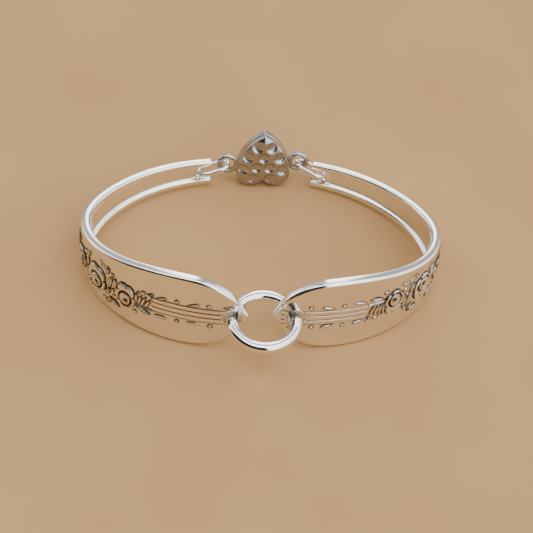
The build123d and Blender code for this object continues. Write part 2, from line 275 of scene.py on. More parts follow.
def smooth(rows):
    """A function through the rows of a table, a cubic between each two, by its first column."""
    knots, values = rows[:, 0], rows[:, 1:]
    steps = np.diff(knots)
    rises = np.diff(values, axis=0) / steps[:, None]
    count = len(knots)
    grid, sides = np.zeros((count, count)), np.zeros_like(values)
    for i in range(1, count - 1):
        grid[i, i - 1 : i + 2] = 1 / steps[i - 1], 2 / steps[i - 1] + 2 / steps[i], 1 / steps[i]
        sides[i] = 3 * (rises[i - 1] / steps[i - 1] + rises[i] / steps[i])
    for end, near in ((0, slice(0, 4)), (count - 1, slice(count - 4, count))):
        grid[end, end] = 1
        for column in range(values.shape[1]):
            cubic = np.polyfit(knots[near] - knots[end], values[near, column], 3)
            sides[end, column] = cubic[2]
    slopes = np.linalg.solve(grid, sides)

    def value(at):
        at = np.asarray(at, float)
        i = np.clip(np.searchsorted(knots, at, side="right") - 1, 0, count - 2)
        t = ((at - knots[i]) / steps[i])[..., None]
        h = steps[i][..., None]
        return (
            values[i] * (1 + 2 * t) * (1 - t) ** 2
            + slopes[i] * h * t * (1 - t) ** 2
            + values[i + 1] * t**2 * (3 - 2 * t)
            + slopes[i + 1] * h * t**2 * (t - 1)
        )

    return value


def plan_curve():
    """The handle's middle line in plan: its length, and places and outward directions along it."""
    points = PLAN * (HALF_SPAN, PLAN_DEPTH)
    chords = np.concatenate(([0], np.cumsum(np.hypot(*np.diff(points, axis=0).T))))
    line = smooth(np.column_stack((chords, points)))(np.linspace(0, chords[-1], PLAN_SAMPLES))
    run = np.concatenate(([0], np.cumsum(np.hypot(*np.diff(line, axis=0).T))))
    tangent = np.gradient(line, run, axis=0)
    tangent /= np.linalg.norm(tangent, axis=1)[:, None]
    outward = np.column_stack((tangent[:, 1], -tangent[:, 0]))
    return run, line, outward


RUN, LINE, OUTWARD = plan_curve()
LENGTH = RUN[-1]
width_and_thickness = smooth(SECTIONS)


def ease(value):
    """A smooth step from 0 to 1."""
    value = np.clip(value, 0, 1)
    return value * value * (3 - 2 * value)


def bell(value):
    """1 at 0, falling off to both sides."""
    return np.exp(-(value**2))


def place(along, height, out):
    """Points of a handle in its own frame, from length along it, height and distance outward."""
    x = np.interp(along, RUN, LINE[:, 0]) + np.interp(along, RUN, OUTWARD[:, 0]) * out
    y = np.interp(along, RUN, LINE[:, 1]) + np.interp(along, RUN, OUTWARD[:, 1]) * out
    return np.column_stack((x, y, height))


def half_width(along):
    """Half of a handle's width at lengths along it."""
    return HALF_WIDTH * width_and_thickness(along / LENGTH)[..., 0]


def half_thick(along):
    """Half of a handle's thickness at lengths along it, without its crown and ornament."""
    return THICKNESS / 2 * width_and_thickness(along / LENGTH)[..., 1]


def edge_run(along):
    """How far the outer face rolls over towards the edge: further near the tip."""
    near = 1 - ease(along / TIP_EDGE_REACH)
    run = EDGE_ROUND + (TIP_EDGE_RUN - EDGE_ROUND) * near
    return np.minimum(run, EDGE_LIMIT * half_width(along))


# The relief, worked in millimetres over the outer face. AWAY moves a line off where it isn't wanted,
# and a RISE is a form's height at its outline and what its round edge adds, as shares
OUTLINE_SOFT = 0.10
HALO_DARK = 0.5
AWAY = 9
REED_ENDS = (0.5, 0.4)
REED_DARK = 0.95
BEAD_PROUD = 0.15
BEAD_GROOVE = 0.12
BUD_PROUD = 0.12
BUD_GROOVE = 0.11
BUD_TAPER = (1.15, 0.45)
STEM_PROUD = 0.16
STEM_GROOVE = 0.10
STEM_DARK = 0.9
STEM_WIDE = 0.36
STEM_FROM = (REED_TO - 0.3, 1.55)
STEM_TO = (20.2, 1.45)
PIT_DEPTH = 0.05
PIT_DARK = 0.8
LEAF_RISE = (0.65, 0.35)
LEAF_ROUND = 0.30
VEINED_WIDTH = 0.7
VEIN_WIDE = 0.08
VEIN_END = 0.5
VEIN_DEPTH = 0.12
VEIN_DARK = 0.85
SIDE_VEIN_SLOPE = 1.6
SIDE_VEIN_PITCH = 0.52
SIDE_VEIN_DEPTH = 0.03
SIDE_VEIN_DARK = 0.15

# A rose. Places across it are shares of its size, heights are shares of ROSE_PROUD, and angles are
# in radians
PETALS = 5
PETAL_NOTCH = 0.87
PETAL_BULGE = 0.15
PETAL_BLUNT = 0.7
PETAL_HEIGHT = 0.62
PETAL_CUP = 0.16
CUP_IN = 0.14
CUP_WIDE = 0.10
PETAL_RISE = (0.55, 0.45)
SEAM_FROM = 0.62
SEAM_TO = 0.9
SEAM_SWEEP = 0.5
SEAM_ENDS = (0.06, 0.05)
CURL_OFF = (0.02, 0.22)
CURL_LONG = 0.56
CURL_HIGH = 0.52
CURL_WIDE = 0.54
CURL_RISE = (0.62, 0.28)
EYE_OFF = 0.10

# On the curl, shares of the curl's own size
CURL_EDGE = 1.02
CURL_SOFT = 0.1
CURL_RING = 1.06
SPIRAL = 0.60
SPIRAL_SWAY = 0.10
SPIRAL_FACING = 2.2
SPIRAL_ENDS = (0.45, 0.3)

# A rose's grooves, in millimetres. A line is how wide, how deep and how dark
PETAL_ROUND = 0.22
PETAL_GROOVE = 0.15
PETAL_GROOVE_DEPTH = 0.12
SEAM_LINE = (0.14, 0.16, 1.1)
CURL_LINE = (0.20, 0.20, 1.4)
SPIRAL_LINE = (0.09, 0.12, 0.85)
EYE_LINE = (0.45, 0.20, 1.5)


class Relief:
    """Height of the relief and how dark its recesses are, at points along and up the outer face."""

    def __init__(self, along, up):
        self.along = along
        self.up = up
        self.height = np.zeros_like(along)
        self.dark = np.zeros_like(along)

    def local(self, along, up, turn=0.0, bend=0.0):
        """The points in a motif's own frame."""
        x, y = self.along - along, self.up - up
        c, s = cos(radians(turn)), sin(radians(turn))
        x, y = x * c + y * s, y * c - x * s
        return x, y + bend * x * x

    def stamp(self, inside, top, groove=GROOVE, depth=GROOVE_DEPTH, strength=1.0):
        """Lays a motif over what is there. inside is the distance in from its outline."""
        cover = ease(inside / OUTLINE_SOFT + 0.5)
        line = bell(inside / groove)
        halo = HALO_DARK * bell(inside / HALO) * (inside < 0)
        self.height = self.height * (1 - cover) + top * cover - depth * line
        self.dark = np.maximum(self.dark * (1 - cover), strength * np.maximum(line, halo))

    def score(self, off, wide, depth, strength, where=1.0):
        """Cuts a dark line where off, the distance from its middle, is small and where is 1."""
        line = bell((off + AWAY * (1 - where)) / wide)
        self.height -= depth * line
        self.dark = np.maximum(self.dark, strength * line)


def domed(inside, run):
    """A profile that rises from 0 at an outline to 1 at run inside it, as a round edge does."""
    t = 1 - np.clip(inside / run, 0, 1)
    return np.sqrt(1 - t * t)


def reeds(relief):
    """Three low reeds between four grooves."""
    front, back = REED_ENDS
    ends = ease((relief.along - REED_FROM) / front) * ease((REED_TO - relief.along) / back)
    for low, high in zip(GROOVES[1:], GROOVES):
        middle, half = (low + high) / 2, (high - low) / 2
        relief.height += REED_PROUD * ends * domed(half - np.abs(relief.up - middle), half)
    for groove in GROOVES:
        relief.score(relief.up - groove, GROOVE, GROOVE_DEPTH, REED_DARK, where=ends)


def leaf(relief, along, up, turn, length, width, bend):
    """A pointed leaf, with veins where it is wide enough."""
    x, y = relief.local(along, up, turn, bend)
    radius = (length**2 + width**2) / (4 * width)
    inside = radius - np.hypot(x, np.abs(y) + radius - width / 2)
    edge, rise = LEAF_RISE
    top = LEAF_PROUD * (edge + rise * domed(inside, LEAF_ROUND * width))
    veined = width > VEINED_WIDTH
    vein = bell(y / VEIN_WIDE) * ease((length / 2 - np.abs(x)) / VEIN_END) * veined
    wave = 2 * pi * (x - SIDE_VEIN_SLOPE * np.abs(y)) / SIDE_VEIN_PITCH
    side_veins = (0.5 + 0.5 * np.cos(wave)) * veined
    relief.stamp(inside, top - VEIN_DEPTH * vein - SIDE_VEIN_DEPTH * side_veins)
    within = ease(inside / OUTLINE_SOFT)
    veins = VEIN_DARK * vein + SIDE_VEIN_DARK * side_veins
    relief.dark = np.maximum(relief.dark, within * veins)


def bead(relief, along, up, radius):
    """A small round bead."""
    x, y = relief.local(along, up)
    inside = radius - np.hypot(x, y)
    relief.stamp(inside, BEAD_PROUD * domed(inside, radius), groove=BEAD_GROOVE)


def dash(relief, along, up, turn, length, width):
    """A bud: fat towards the tip, pointed away from it."""
    x, y = relief.local(along, up, turn)
    share = np.clip(2 * x / length, -1, 1)
    fat, taper = BUD_TAPER
    half = width / 2 * np.sqrt(1 - share**2) * (fat - taper * share)
    inside = np.minimum(half - np.abs(y), length / 2 - np.abs(x))
    relief.stamp(inside, BUD_PROUD * domed(inside, width / 2), groove=BUD_GROOVE)


def pit(relief, along, up, radius):
    """A tiny dark pit."""
    x, y = relief.local(along, up)
    relief.score(np.hypot(x, y), radius, PIT_DEPTH, PIT_DARK)


def rose(relief, along, up, half_long, half_high, turn):
    """A rose from above: big petals, and a curl inside them, off its middle, with a dark eye."""
    x, y = relief.local(along, up)
    small = min(half_long, half_high)
    petals(relief, x / half_long, y / half_high, small, turn)
    x, y = x - CURL_OFF[0] * half_long, y - CURL_OFF[1] * half_high
    middle = np.hypot(x / (CURL_LONG * half_long), y / (CURL_HIGH * half_high))
    curl(relief, middle, np.arctan2(y, x) - radians(turn), CURL_WIDE * small)
    relief.score(np.hypot(x + EYE_OFF * small, y - EYE_OFF * small), *EYE_LINE)


def petals(relief, x, y, size, turn):
    """Scalloped petals, cupped near the outline, with a seam between each two."""
    far = np.hypot(x, y)
    angle = np.arctan2(y, x) - radians(turn)
    scallop = PETAL_NOTCH + PETAL_BULGE * np.abs(np.cos(PETALS / 2 * angle)) ** PETAL_BLUNT
    inside = (scallop - far) * size
    cup = PETAL_HEIGHT + PETAL_CUP * bell((scallop - far - CUP_IN) / CUP_WIDE)
    edge, rise = PETAL_RISE
    top = ROSE_PROUD * cup * (edge + rise * domed(inside, PETAL_ROUND))
    relief.stamp(inside, top, groove=PETAL_GROOVE, depth=PETAL_GROOVE_DEPTH)
    petal = (angle + SEAM_SWEEP * (SEAM_TO - far)) / (2 * pi) * PETALS % 1
    seam = np.abs(petal - 0.5) * 2 * pi / PETALS * far * size
    inner_end, outer_end = SEAM_ENDS
    outer_part = ease((far - SEAM_FROM) / inner_end) * ease((scallop - far) / outer_end)
    relief.score(seam, *SEAM_LINE, where=outer_part)


def curl(relief, middle, angle, wide):
    """The raised heart of a rose, with a dark ring round it and half a turn of spiral on it."""
    cover = ease((CURL_EDGE - middle) / CURL_SOFT)
    edge, rise = CURL_RISE
    raised = ROSE_PROUD * (edge + rise * domed((1 - middle) * wide, PETAL_ROUND))
    relief.height = relief.height * (1 - cover) + raised * cover
    relief.score((middle - CURL_RING) * wide, *CURL_LINE)
    spiral = middle - SPIRAL - SPIRAL_SWAY * np.sin(angle)
    past, soft = SPIRAL_ENDS
    half_round = ease((np.cos(angle - SPIRAL_FACING) + past) / soft)
    relief.score(spiral * wide, *SPIRAL_LINE, where=half_round)


def stem(relief, start, end, wide):
    """A thin raised line from one place to another."""
    (x0, y0), (x1, y1) = start, end
    length = hypot(x1 - x0, y1 - y0)
    ux, uy = (x1 - x0) / length, (y1 - y0) / length
    x, y = relief.along - x0, relief.up - y0
    t = np.clip(x * ux + y * uy, 0, length)
    inside = wide / 2 - np.hypot(x - t * ux, y - t * uy)
    top = STEM_PROUD * domed(inside, wide / 2)
    relief.stamp(inside, top, groove=STEM_GROOVE, strength=STEM_DARK)


def ornament(along, height):
    """Relief in metres and darkness, at points along and up the outer face, given in metres."""
    relief = Relief(along / MM, height / MM)
    reeds(relief)
    for row in DASHES:
        dash(relief, *row)
    stem(relief, STEM_FROM, STEM_TO, STEM_WIDE)
    for row in LEAVES:
        leaf(relief, *row)
    for row in BEADS:
        bead(relief, *row)
    for row in reversed(ROSES):
        rose(relief, *row)
    for row in PITS:
        pit(relief, *row)
    return relief.height * MM, relief.dark


# The handles. How dark the foot of the channel's walls is, and the painted shade on a hole's rounded rim
# for each radian that the rim turns into the hole
CHANNEL_FOOT_DARK = 0.45
FLARE_SHADE = 0.25


def outer(along, height):
    """Distance outward of the outer face and how dark it is, its edges left square."""
    wide = half_width(along)
    swell = CROWN * (wide / HALF_WIDTH) ** 2 * (1 - np.clip(height / wide, -1, 1) ** 2)
    raised, dark = ornament(along, height)
    return half_thick(along) + swell + raised, dark


def inner(along, height):
    """Distance inward of the inner face, with its channel, and how dark it is."""
    wide = half_width(along) - LIP - CHANNEL_WALL_RUN
    depth = CHANNEL_DEPTH * np.interp(along / LENGTH, CHANNEL[:, 0], CHANNEL[:, 1], left=0)
    cut = ease((wide + CHANNEL_WALL_RUN - np.abs(height)) / CHANNEL_WALL_RUN)
    foot = bell((np.abs(height) - wide) / CHANNEL_FOOT) * ease(depth / CHANNEL_DEPTH)
    return half_thick(along) - depth * cut, CHANNEL_FOOT_DARK * foot


def stations():
    """Lengths along a handle where its sections are, close together where it is ornamented."""
    rich = np.arange(0.0, RICH_LENGTH, FACE_STEP)
    plain = np.arange(rich[-1] + FACE_STEP, LENGTH - BACK_LENGTH, PLAIN_STEP)
    back = np.arange(plain[-1] + PLAIN_STEP / 2, LENGTH, BACK_STEP)
    return np.concatenate((rich, plain, back, [LENGTH]))


def face_shares():
    """Shares of the half width across a face, close together in the ornamented middle."""
    middle = np.linspace(-RICH_HEIGHT, RICH_HEIGHT, RICH_COLUMNS + 1)
    rim = np.linspace(RICH_HEIGHT, 1, PLAIN_COLUMNS + 1)[1:]
    return np.concatenate((-rim[::-1], middle, rim))[::-1]


def marks_of(along, up):
    """Where the silver's grain is read, for points of a face."""
    return np.column_stack((along, up, np.zeros_like(along)))


def add_object(name, data):
    """A new object in the scene."""
    made = bpy.data.objects.new(name, data)
    bpy.context.scene.collection.objects.link(made)
    return made


def shade_smooth(mesh):
    """Shades all faces of a mesh smooth."""
    mesh.polygons.foreach_set("use_smooth", [True] * len(mesh.polygons))


class MeshMaker:
    """Gathers points, faces and what each point carries."""

    def __init__(self):
        self.points = []
        self.faces = []
        self.dark = []
        self.marks = []
        self.count = 0

    def add(self, points, dark, marks):
        """Adds points and returns their numbers."""
        first = self.count
        self.points.append(points)
        self.dark.append(np.broadcast_to(dark, len(points)))
        self.marks.append(marks)
        self.count += len(points)
        return np.arange(first, self.count)

    def strip(self, a, b):
        """Quads between two closed rows of as many points."""
        a, b = np.append(a, a[0]), np.append(b, b[0])
        self.faces.extend(zip(a[:-1].tolist(), a[1:].tolist(), b[1:].tolist(), b[:-1].tolist()))

    def zip_rows(self, a, where_a, b, where_b):
        """Triangles between two rows with different numbers of points, matched by where they are."""
        i = j = 0
        while i < len(a) - 1 or j < len(b) - 1:
            ahead = j == len(b) - 1 or (i < len(a) - 1 and where_a[i + 1] <= where_b[j + 1])
            if ahead:
                self.faces.append((int(a[i]), int(a[i + 1]), int(b[j])))
                i += 1
            else:
                self.faces.append((int(a[i]), int(b[j + 1]), int(b[j])))
                j += 1

    def object(self, name, matrix):
        """A smooth object of what was gathered, with faces that look outward."""
        mesh = bpy.data.meshes.new(name)
        mesh.from_pydata(np.concatenate(self.points).tolist(), [], self.faces)
        mesh.transform(matrix)
        recess = mesh.attributes.new("recess", "FLOAT", "POINT")
        recess.data.foreach_set("value", np.concatenate(self.dark).astype(np.float32))
        grain = mesh.attributes.new("grain_place", "FLOAT_VECTOR", "POINT")
        grain.data.foreach_set("vector", np.concatenate(self.marks).astype(np.float32).ravel())
        work = bmesh.new()
        work.from_mesh(mesh)
        bmesh.ops.recalc_face_normals(work, faces=work.faces)
        work.to_mesh(mesh)
        work.free()
        shade_smooth(mesh)
        return add_object(name, mesh)


def hole_rim(maker, along, middle, radius, numbers, shares, flat, face, sign):
    """Joins a face to a hole's rounded rim. Returns the rim by angle, and the cells left out for it."""
    reach = radius + HOLE_REACH * HOLE_FLARE
    i0, i1 = np.searchsorted(along, (middle - reach, middle + reach))
    i0 = max(i0 - 1, 2)
    need = reach / np.interp(middle, along, flat)
    inside = np.flatnonzero(np.abs(shares) < min(need, HOLE_WIDEST))
    j0, j1 = inside[0] - 1, inside[-1] + 1
    edge_i = [i0] * (j1 - j0) + list(range(i0, i1)) + [i1] * (j1 - j0) + list(range(i1, i0, -1))
    edge_j = list(range(j0, j1)) + [j1] * (i1 - i0) + list(range(j1, j0, -1)) + [j0] * (i1 - i0)
    edge_s = along[edge_i]
    edge_h = flat[edge_i] * shares[edge_j]
    angle = np.arctan2(edge_h, edge_s - middle)
    rim_s = middle + (radius + HOLE_FLARE) * np.cos(angle)
    rim_h = (radius + HOLE_FLARE) * np.sin(angle)
    last = numbers[edge_i, edge_j]
    for ring in range(1, HOLE_RINGS + 1):
        share = ring / HOLE_RINGS
        s, h = edge_s + (rim_s - edge_s) * share, edge_h + (rim_h - edge_h) * share
        out, dark = face(s, h)
        row = maker.add(place(s, h, sign * out), dark, marks_of(s, h))
        maker.strip(last, row)
        last = row
    # The rounded rim, darkened with painted shade as it turns into the hole
    for turn in np.linspace(0, pi / 2, FLARE_RINGS + 1)[1:]:
        size = radius + HOLE_FLARE * (1 - sin(turn))
        s, h = middle + size * np.cos(angle), size * np.sin(angle)
        out = face(s, h)[0] - HOLE_FLARE * (1 - cos(turn))
        row = maker.add(place(s, h, sign * out), FLARE_SHADE * turn, marks_of(s, h + out))
        maker.strip(last, row)
        last = row
    order = np.argsort(angle)
    return last[order], angle[order], (i0, i1), (j0, j1)


def handle_mesh(tip_hole_in):
    """A handle in its own frame: a closed skin of sections, with its two holes."""
    maker = MeshMaker()
    along = stations()
    shares = face_shares()
    inner_shares = np.linspace(-1, 1, INNER_COLUMNS + 1)
    turns = np.linspace(0, pi / 2, ROUND_COLUMNS + 2)[1:-1]
    wide, thick = half_width(along), half_thick(along)
    run = edge_run(along)
    drop = np.minimum(EDGE_ROUND, ROUND_LIMIT * thick)
    inner_round = np.minimum(EDGE_ROUND, ROUND_LIMIT * np.minimum(wide, thick))
    outer_edge = outer(along, wide - run)[0]

    def face_rows(shares_here, flat, face, sign):
        """The points of a face, a row for each section."""
        s = np.repeat(along, len(shares_here))
        h = np.outer(flat, shares_here).ravel()
        out, dark = face(s, h)
        numbers = maker.add(place(s, h, sign * out), dark, marks_of(s, h))
        return numbers.reshape(len(along), -1)

    def corner_rows(side, sign, radius_out, radius_up, order):
        """The rounded corner between a face and an edge."""
        s = np.repeat(along, len(turns))
        edge = outer_edge if sign > 0 else thick
        up = (wide - radius_up)[:, None] + radius_up[:, None] * np.sin(turns[order])
        out = ((edge - radius_out)[:, None] + radius_out[:, None] * np.cos(turns[order])).ravel()
        h = up.ravel() * side
        numbers = maker.add(place(s, h, sign * out), 0, marks_of(s, h + sign * out))
        return numbers.reshape(len(along), -1)

    forward, back = slice(None), slice(None, None, -1)
    outer_face = face_rows(shares, wide - run, outer, 1)
    low_outer = corner_rows(-1, 1, drop, run, forward)
    low_inner = corner_rows(-1, -1, inner_round, inner_round, back)
    inner_face = face_rows(inner_shares, wide - inner_round, inner, -1)
    high_inner = corner_rows(1, -1, inner_round, inner_round, forward)
    high_outer = corner_rows(1, 1, drop, run, back)
    loops = np.hstack((outer_face, low_outer, low_inner, inner_face, high_inner, high_outer))

    left_out = np.zeros((len(along) - 1, loops.shape[1]), bool)
    first_inner = outer_face.shape[1] + low_outer.shape[1] + low_inner.shape[1]
    faces = (
        (0, (outer_face, shares, wide - run, outer, 1)),
        (first_inner, (inner_face, inner_shares, wide - inner_round, inner, -1)),
    )
    for hole in ((tip_hole_in, TIP_HOLE_RADIUS), (LENGTH - BACK_HOLE_IN, BACK_HOLE_RADIUS)):
        rims = []
        for first, face in faces:
            rim, angle, (i0, i1), (j0, j1) = hole_rim(maker, along, *hole, *face)
            left_out[i0:i1, first + j0 : first + j1] = True
            rims += [np.append(rim, rim[0]), np.append(angle, angle[0] + 2 * pi)]
        maker.zip_rows(*rims)

    for i in range(len(along) - 1):
        here, there = loops[i], loops[i + 1]
        for j in np.flatnonzero(~left_out[i]):
            k = (j + 1) % loops.shape[1]
            maker.faces.append((int(here[j]), int(here[k]), int(there[k]), int(there[j])))
    points = np.concatenate(maker.points)
    for i in (0, len(along) - 1):
        front = np.concatenate((high_outer[i], outer_face[i], low_outer[i]))
        behind = np.concatenate((low_inner[i], inner_face[i], high_inner[i]))[::-1]
        maker.zip_rows(front, -points[front, 2], behind, -points[behind, 2])
    return maker


def node_points(node):
    """A CAD node's points as an array."""
    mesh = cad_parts[node].data
    points = np.zeros(len(mesh.vertices) * 3)
    mesh.vertices.foreach_get("co", points)
    return points.reshape(-1, 3)


def dress(made, node, material):
    """Gives a piece its material and body, and hides the CAD node that it replaces."""
    made.data.materials.clear()
    made.data.materials.append(material)
    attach(made, "root")
    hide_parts(node)


def build_handle(name, tip_hole_in, turned):
    """A handle, tilted as it lies, and set where the CAD node is: tip, back and mid height."""
    maker = handle_mesh(tip_hole_in)
    turn = Matrix.Rotation(pi if turned else 0, 4, "Y")
    tilt = Matrix.Rotation(-TILT, 4, "X")
    level = np.array(tilt.inverted().to_3x3())
    cad = node_points(name) @ level.T
    mine = np.concatenate(maker.points) @ np.array(turn.to_3x3()).T
    tip = np.max if turned else np.min
    shift = Vector((
        tip(cad[:, 0]) - tip(mine[:, 0]),
        cad[:, 1].max() - mine[:, 1].max(),
        (cad[:, 2].max() + cad[:, 2].min() - mine[:, 2].max() - mine[:, 2].min()) / 2,
    ))
    made = maker.object(name + "_silver", tilt @ Matrix.Translation(shift) @ turn)
    dress(made, name, handle_silver)


# The ring and the links


def own_axes(points):
    """The middle, axes and size of a flat symmetrical node, its longest axis first."""
    axes = np.linalg.svd(points - points.mean(0), full_matrices=False)[2]
    along = points @ axes.T
    low, high = along.min(0), along.max(0)
    return (low + high) / 2 @ axes, axes, high - low


def swept(path, normals, sides_axis, wire, sides):
    """A round wire along a closed path in a plane."""
    maker = MeshMaker()
    run = np.arange(len(path)) * MARK_STEP
    rows = []
    for turn in np.linspace(0, 2 * pi, sides, endpoint=False):
        points = path + wire / 2 * (cos(turn) * normals + sin(turn) * sides_axis)
        rows.append(maker.add(points, 0, marks_of(run, np.full(len(path), turn * wire / 2))))
    for a, b in zip(rows, rows[1:] + rows[:1]):
        maker.strip(a, b)
    return maker


def racetrack(length, spread, count):
    """A closed path in XY with straight sides and round ends, and its outward directions."""
    radius = spread / 2
    straight = length - spread
    rim = 2 * straight + 2 * pi * radius
    path, outward = [], []
    for run in np.linspace(0, rim, count, endpoint=False):
        side = 1
        if run >= rim / 2:
            run -= rim / 2
            side = -1
        if run < straight:
            point, out = (run - straight / 2, -radius), (0.0, -1.0)
        else:
            turn = (run - straight) / radius - pi / 2
            out = (cos(turn), sin(turn))
            point = (straight / 2 + radius * out[0], radius * out[1])
        path.append((side * point[0], side * point[1], 0))
        outward.append((side * out[0], side * out[1], 0))
    return np.array(path), np.array(outward)


def wire_loop(name, steps):
    """A ring or a link, measured from its CAD node and made again with a finer skin."""
    count, sides = steps
    middle, axes, size = own_axes(node_points(name))
    wire = size[2]
    path, normals = racetrack(size[0] - wire, size[1] - wire, count)
    maker = swept(path @ axes, normals @ axes, axes[2], wire, sides)
    made = maker.object(name + "_wire", Matrix.Translation(Vector(middle)))
    dress(made, name, bright_wire)


# The heart clasp: two lobes and two long sides, each an arc
LOBE_RADIUS = HEART_WIDTH / 2 + HEART_NOTCH - (HEART_WIDTH * HEART_NOTCH) ** 0.5
HEART_SIDE = ((HEART_HEIGHT - LOBE_RADIUS) ** 2 + (HEART_WIDTH / 2) ** 2) / HEART_WIDTH
LOBE_X = HEART_WIDTH / 2 - LOBE_RADIUS
SIDE_X = HEART_WIDTH / 2 - HEART_SIDE
# Painted shade round each dimple's edge: how dark it is, and how wide as a share of the dimple's radius
DIMPLE_SHADE = 0.25
DIMPLE_EDGE = 0.10
ROUGHLY = 0.9
EXACTLY = 0.9999


def heart_arc(middle, radius, start, end, count):
    """Points of an arc of the heart, whose centre is at the lobes' height, middle to the right."""
    turns = np.linspace(start, end, count)
    return np.column_stack((middle + radius * np.cos(turns), LOBE_RADIUS + radius * np.sin(turns)))


def heart_outline(count):
    """Points round the heart, from the notch up the right side to the point, and back."""
    start = np.arctan2(HEART_NOTCH - LOBE_RADIUS, -LOBE_X)
    end = np.arctan2(HEART_HEIGHT - LOBE_RADIUS, -SIDE_X)
    lobe = heart_arc(LOBE_X, LOBE_RADIUS, start, 0, count // 2 + 1)[:-1]
    side = heart_arc(SIDE_X, HEART_SIDE, 0, end, count // 2 + 1)
    right = np.concatenate((lobe, side))
    left = right[1:-1][::-1] * (-1, 1)
    return np.concatenate((right, left))


def clasp_half(dimpled):
    """A half of the clasp: its flat face at Y 0, its puffed face towards -Y."""
    maker = MeshMaker()
    outline = heart_outline(OUTLINE_POINTS)
    middle = np.array((0, HEART_HEIGHT * HEART_MIDDLE))
    segments = np.roll(outline, -1, axis=0) - outline

    def edge_distance(points):
        """How far inside the outline each point is."""
        start = points[:, None] - outline[None]
        t = np.clip((start * segments).sum(2) / (segments**2).sum(1), 0, 1)
        return np.linalg.norm(start - t[..., None] * segments, axis=2).min(1)

    def add_row(flat, depth, dark):
        """A row of points at places across and up, each at its own depth."""
        points = np.column_stack((flat[:, 0], -depth, flat[:, 1]))
        return maker.add(points, dark, points)

    def level_row(share, depth, dark=0.0):
        """A row at one depth, at a share of the outline."""
        flat = middle + (outline - middle) * share
        return add_row(flat, np.full(len(flat), depth), dark)

    rows = [level_row(share, depth * MM, dark) for share, depth, dark in CLASP_EDGE]
    rows += [level_row(1, HALF_DEPTH * share) for share in SIDE_SHARES]
    for share in 1 - np.linspace(0, 1, PUFF_ROWS + 1)[:-1] ** PUFF_CROWD:
        flat = middle + (outline - middle) * share
        inside = edge_distance(flat)
        lift = (1 - (1 - np.clip(inside / PUFF_RUN, 0, 1)) ** 2) ** PUFF_POWER
        depth = HALF_DEPTH + PUFF * lift
        dark = np.zeros(len(flat))
        if dimpled:
            depth, dark = dimple(flat, depth)
        rows.append(add_row(flat, depth, dark))
    for a, b in zip(rows, rows[1:]):
        maker.strip(a, b)
    for last in (rows[0], rows[-1]):
        centre_point = np.concatenate(maker.points)[last].mean(0)[None]
        centre = maker.add(centre_point, 0, centre_point)
        ring = np.append(last, last[0])
        maker.faces.extend((int(p), int(q), int(centre[0])) for p, q in zip(ring, ring[1:]))
    return maker


def dimple(flat, depth):
    """Round dimples sunk in the puffed face, with painted shade where they meet it."""
    dark = np.zeros(len(flat))
    for across, height in DIMPLES:
        far = np.hypot(flat[:, 0] - HEART_WIDTH * across, flat[:, 1] - HEART_HEIGHT * height)
        share = np.clip(far / DIMPLE_RADIUS, 0, 1)
        depth = depth - DIMPLE_DEPTH * (1 - share**3)
        dark = np.maximum(dark, DIMPLE_SHADE * bell((far / DIMPLE_RADIUS - 1) / DIMPLE_EDGE))
    return depth, dark


def eyelet_ring():
    """The eyelet's ring on the -X side of a clasp half, in the half's frame."""
    count, sides = EYELET_STEPS
    half = SIDE_X + np.sqrt(HEART_SIDE**2 - (EYELET_HEIGHT - LOBE_RADIUS) ** 2)
    across = half + EYELET_HOLE_RADIUS + EYELET_WIRE - EYELET_SINK
    turns = np.linspace(0, 2 * pi, count, endpoint=False)
    normals = np.column_stack((np.cos(turns), np.zeros(count), np.sin(turns)))
    path = normals * (EYELET_HOLE_RADIUS + EYELET_WIRE / 2) + (-across, -HALF_DEPTH / 2, EYELET_HEIGHT)
    return swept(path, normals, np.array((0.0, 1.0, 0.0)), EYELET_WIRE, sides)


def fused(name, body, other):
    """One closed skin round two that overlap."""
    joint = body.modifiers.new("join", "BOOLEAN")
    joint.operation = "UNION"
    joint.solver = "EXACT"
    joint.object = other
    seen = body.evaluated_get(bpy.context.evaluated_depsgraph_get())
    mesh = bpy.data.meshes.new_from_object(seen)
    for spent in (body, other):
        bpy.data.objects.remove(spent)
    mesh.name = name
    shade_smooth(mesh)
    return add_object(name, mesh)


def clasp_frame(node, facing):
    """Where a clasp half's own frame is, from its CAD node's points and flat inner face."""
    points = node_points(node)
    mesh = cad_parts[node].data
    normals = np.array([p.normal for p in mesh.polygons])
    areas = np.array([p.area for p in mesh.polygons])

    def direction(chosen):
        """The way that the chosen triangles face, the larger ones counting for more."""
        total = (normals[chosen] * areas[chosen, None]).sum(0)
        return total / np.linalg.norm(total)

    # The first guess takes in rounded parts too, so the flat face's own triangles are then picked out
    out = direction(normals[:, 1] * facing > ROUGHLY)
    for _ in range(4):
        same = normals @ out > EXACTLY
        if same.any():
            out = direction(same)
    across = np.cross(out, (0, 0, 1))
    across /= np.linalg.norm(across)
    up = np.cross(across, out)
    middle = (points @ across).max() - HEART_WIDTH / 2
    origin = middle * across + (points @ up).min() * up + (points @ out).max() * out
    return Matrix([*zip(across, out, up, origin), (0, 0, 0, 1)])


def build_clasp(node, facing, dimpled):
    """A clasp half with its eyelet, where its CAD node is."""
    where = clasp_frame(node, facing)
    body = clasp_half(dimpled).object(node + "_body", where)
    ring = eyelet_ring().object(node + "_ring", where)
    dress(fused(node + "_half", body, ring), node, clasp_silver)


# Materials
SILVER = (0.93, 0.91, 0.87, 1)
WIRE_SILVER = (0.95, 0.94, 0.92, 1)
CLASP_SILVER = (0.44, 0.43, 0.43, 1)
# The dark parts' colour: tarnish in the ornament's grooves, a dark line at the foot of the channel's
# walls, and painted shade in the holes' rims, the clasp's seam and round its dimples
TARNISH_AND_SHADE = (0.035, 0.027, 0.020, 1)
FLOOR_DEEP = (0.460, 0.262, 0.108, 1)
FLOOR_PALE = (0.500, 0.292, 0.126, 1)
FLOOR_REACH = 3.0
DULLER = 0.93
GRAIN_SCALE = (900, 14000, 14000)
CLOUD_SCALE = 260.0
SPECK_SCALE = 5200.0
MOTTLE_SCALE = 30.0
BUMP_HEIGHT = 0.01 * MM


